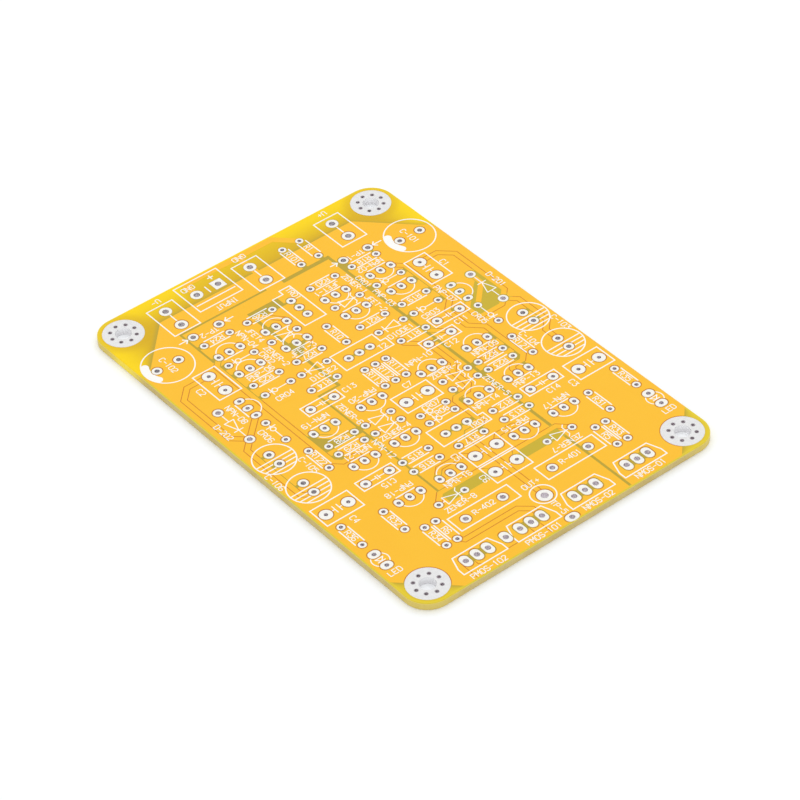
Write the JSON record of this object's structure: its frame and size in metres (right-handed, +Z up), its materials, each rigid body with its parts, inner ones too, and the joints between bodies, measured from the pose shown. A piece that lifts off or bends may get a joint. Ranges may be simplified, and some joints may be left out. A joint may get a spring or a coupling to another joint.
{
  "type": "amplifier circuit board",
  "caption": "Bare two-sided circuit board of a small audio amplifier, with copper areas under a solder mask, plated holes for leaded components, printed outlines and corner mounting holes.",
  "frame": {"origin": "centre of the board's outline, on the outer face of the bottom solder mask", "axes": "+X along the board's long side from the input side to the power transistor side, +Y along its short side, +Z up out of the printed side"},
  "size_m": [0.1, 0.07, 0.0016],
  "materials": {
    "laminate": "cut glass-fibre laminate, matte tan edge",
    "copper": "plain rolled copper, covered by the mask",
    "solder_mask": "orange-yellow lacquer with a soft shine",
    "legend": "printed warm white ink",
    "tinned_pad": "bright tin on copper"
  },
  "bodies": {
    "root": {"laminate": "laminate", "top_copper": "copper", "bottom_copper": "copper", "top_solder_mask": "solder_mask", "bottom_solder_mask": "solder_mask", "legend": "legend", "mounting_pads": "tinned_pad", "supply_pads": "tinned_pad", "input_pads": "tinned_pad", "output_pad": "tinned_pad", "test_pads": "tinned_pad", "edge_test_pad": "tinned_pad", "resistor_pads": "tinned_pad", "emitter_resistor_pads": "tinned_pad", "diode_pads": "tinned_pad", "power_diode_pads": "tinned_pad", "transistor_pads": "tinned_pad", "power_transistor_pads": "tinned_pad", "trimmer_pads": "tinned_pad", "film_capacitor_pads": "tinned_pad", "ceramic_capacitor_pads": "tinned_pad", "electrolytic_capacitor_pads": "tinned_pad", "lamp_pads": "tinned_pad"}
  },
  "joints": []
}
